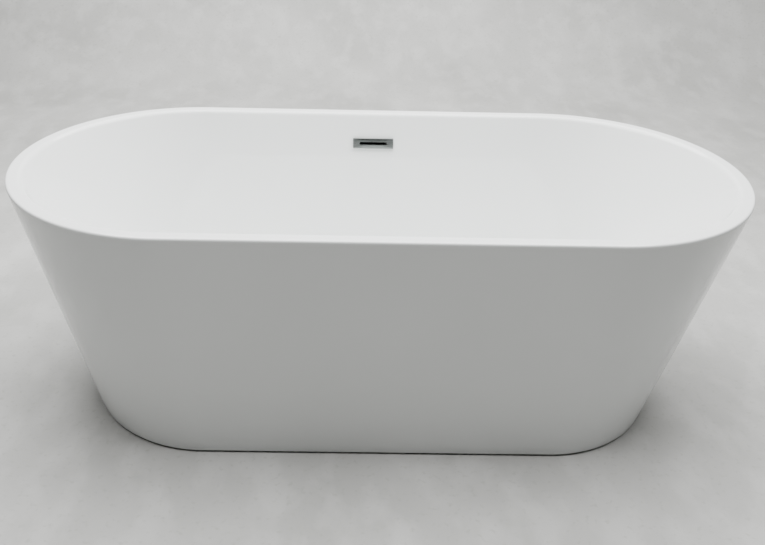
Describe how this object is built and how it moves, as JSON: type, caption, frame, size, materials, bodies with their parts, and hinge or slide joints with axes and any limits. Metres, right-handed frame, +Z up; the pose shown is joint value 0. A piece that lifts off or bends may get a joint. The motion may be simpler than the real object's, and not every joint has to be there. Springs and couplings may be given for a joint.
{
  "type": "freestanding bathtub",
  "caption": "Freestanding double-ended bathtub with a sloped skirt, levelling feet, a push-to-open waste and a slotted overflow.",
  "frame": {"origin": "on the floor, midway along and across the tub", "axes": "+X along the tub, +Y towards the rear side that carries the overflow, +Z up"},
  "size_m": [1.7, 0.8, 0.58],
  "materials": {
    "acrylic": "glossy white cast acrylic",
    "laminate": "glass-fibre and resin bonding strip",
    "plywood": "plywood with a thin coat of resin",
    "galvanised_steel": "hot-dip galvanised steel with a dull spangle",
    "zinc_plated_steel": "bright zinc plate",
    "chrome_plate": "polished chrome plate",
    "black_rubber": "moulded black rubber",
    "black_plastic": "moulded black plastic",
    "white_plastic": "moulded white plastic"
  },
  "bodies": {
    "tub": {"inner_basin": "acrylic", "outer_skirt": "acrylic", "rim_bonding_strip": "laminate", "floor_board": "plywood", "front_rail": "galvanised_steel", "rear_rail": "galvanised_steel", "cross_tube_left_outer": "galvanised_steel", "cross_tube_left_inner": "galvanised_steel", "cross_tube_right_inner": "galvanised_steel", "cross_tube_right_outer": "galvanised_steel", "center_beam": "galvanised_steel", "skirt_bracket_front_left": "galvanised_steel", "skirt_bracket_rear_left": "galvanised_steel", "skirt_bracket_front_right": "galvanised_steel", "skirt_bracket_rear_right": "galvanised_steel", "waste_flange": "chrome_plate", "waste_flange_seal": "black_rubber", "waste_shoe_gasket": "black_rubber", "waste_shoe": "black_plastic", "waste_tailpiece": "chrome_plate", "tailpiece_washer": "black_rubber", "tailpiece_nut": "white_plastic", "stopper_sleeve": "zinc_plated_steel", "stopper_spring": "zinc_plated_steel", "overflow_cover": "chrome_plate", "overflow_bracket": "zinc_plated_steel", "overflow_gasket": "black_rubber", "overflow_body": "black_plastic", "overflow_screw_left": "zinc_plated_steel", "overflow_screw_right": "zinc_plated_steel", "overflow_hose": "black_plastic", "hose_clamp_top": "zinc_plated_steel", "hose_clamp_bottom": "zinc_plated_steel", "foot_bush_front_left": "galvanised_steel", "foot_lock_nut_front_left": "zinc_plated_steel", "foot_bush_front_right": "galvanised_steel", "foot_lock_nut_front_right": "zinc_plated_steel", "foot_bush_rear_left": "galvanised_steel", "foot_lock_nut_rear_left": "zinc_plated_steel", "foot_bush_rear_right": "galvanised_steel", "foot_lock_nut_rear_right": "zinc_plated_steel", "foot_bush_center": "galvanised_steel", "foot_lock_nut_center": "zinc_plated_steel"},
    "stopper": {"stopper_cap": "chrome_plate", "stopper_seal": "black_rubber", "stopper_stem": "zinc_plated_steel"},
    "pad_front_left": {"foot_pad_front_left": "black_plastic"},
    "stud_front_left": {"foot_stud_front_left": "zinc_plated_steel"},
    "pad_front_right": {"foot_pad_front_right": "black_plastic"},
    "stud_front_right": {"foot_stud_front_right": "zinc_plated_steel"},
    "pad_rear_left": {"foot_pad_rear_left": "black_plastic"},
    "stud_rear_left": {"foot_stud_rear_left": "zinc_plated_steel"},
    "pad_rear_right": {"foot_pad_rear_right": "black_plastic"},
    "stud_rear_right": {"foot_stud_rear_right": "zinc_plated_steel"},
    "pad_center": {"foot_pad_center": "black_plastic"},
    "stud_center": {"foot_stud_center": "zinc_plated_steel"}
  },
  "joints": [
    {"name": "stopper_lift", "type": "slide", "parent": "tub", "child": "stopper", "axis": [0, 0, 1], "range_m": [0, 0.008], "deforming": ["stopper_spring"]},
    {"name": "foot_front_left_height", "type": "slide", "parent": "tub", "child": "pad_front_left", "axis": [0, 0, 1], "range_m": [-0.015, 0.004]},
    {"name": "foot_front_left_turn", "type": "hinge", "parent": "pad_front_left", "child": "stud_front_left", "pos_m": [-0.44, -0.18, 0.05], "axis": [0, 0, 1], "range_deg": [-3086.5, 823.5]},
    {"name": "foot_front_right_height", "type": "slide", "parent": "tub", "child": "pad_front_right", "axis": [0, 0, 1], "range_m": [-0.015, 0.004]},
    {"name": "foot_front_right_turn", "type": "hinge", "parent": "pad_front_right", "child": "stud_front_right", "pos_m": [0.44, -0.18, 0.05], "axis": [0, 0, 1], "range_deg": [-3086.5, 823.5]},
    {"name": "foot_rear_left_height", "type": "slide", "parent": "tub", "child": "pad_rear_left", "axis": [0, 0, 1], "range_m": [-0.015, 0.004]},
    {"name": "foot_rear_left_turn", "type": "hinge", "parent": "pad_rear_left", "child": "stud_rear_left", "pos_m": [-0.44, 0.18, 0.05], "axis": [0, 0, 1], "range_deg": [-3086.5, 823.5]},
    {"name": "foot_rear_right_height", "type": "slide", "parent": "tub", "child": "pad_rear_right", "axis": [0, 0, 1], "range_m": [-0.015, 0.004]},
    {"name": "foot_rear_right_turn", "type": "hinge", "parent": "pad_rear_right", "child": "stud_rear_right", "pos_m": [0.44, 0.18, 0.05], "axis": [0, 0, 1], "range_deg": [-3086.5, 823.5]},
    {"name": "foot_center_height", "type": "slide", "parent": "tub", "child": "pad_center", "axis": [0, 0, 1], "range_m": [-0.015, 0.004]},
    {"name": "foot_center_turn", "type": "hinge", "parent": "pad_center", "child": "stud_center", "pos_m": [0, -0.04, 0.05], "axis": [0, 0, 1], "range_deg": [-3086.5, 823.5]}
  ],
  "couplings": [
    {"joint": "foot_front_left_turn", "follows": "foot_front_left_height", "rad_per_m": 3590.4},
    {"joint": "foot_front_right_turn", "follows": "foot_front_right_height", "rad_per_m": 3590.4},
    {"joint": "foot_rear_left_turn", "follows": "foot_rear_left_height", "rad_per_m": 3590.4},
    {"joint": "foot_rear_right_turn", "follows": "foot_rear_right_height", "rad_per_m": 3590.4},
    {"joint": "foot_center_turn", "follows": "foot_center_height", "rad_per_m": 3590.4}
  ]
}
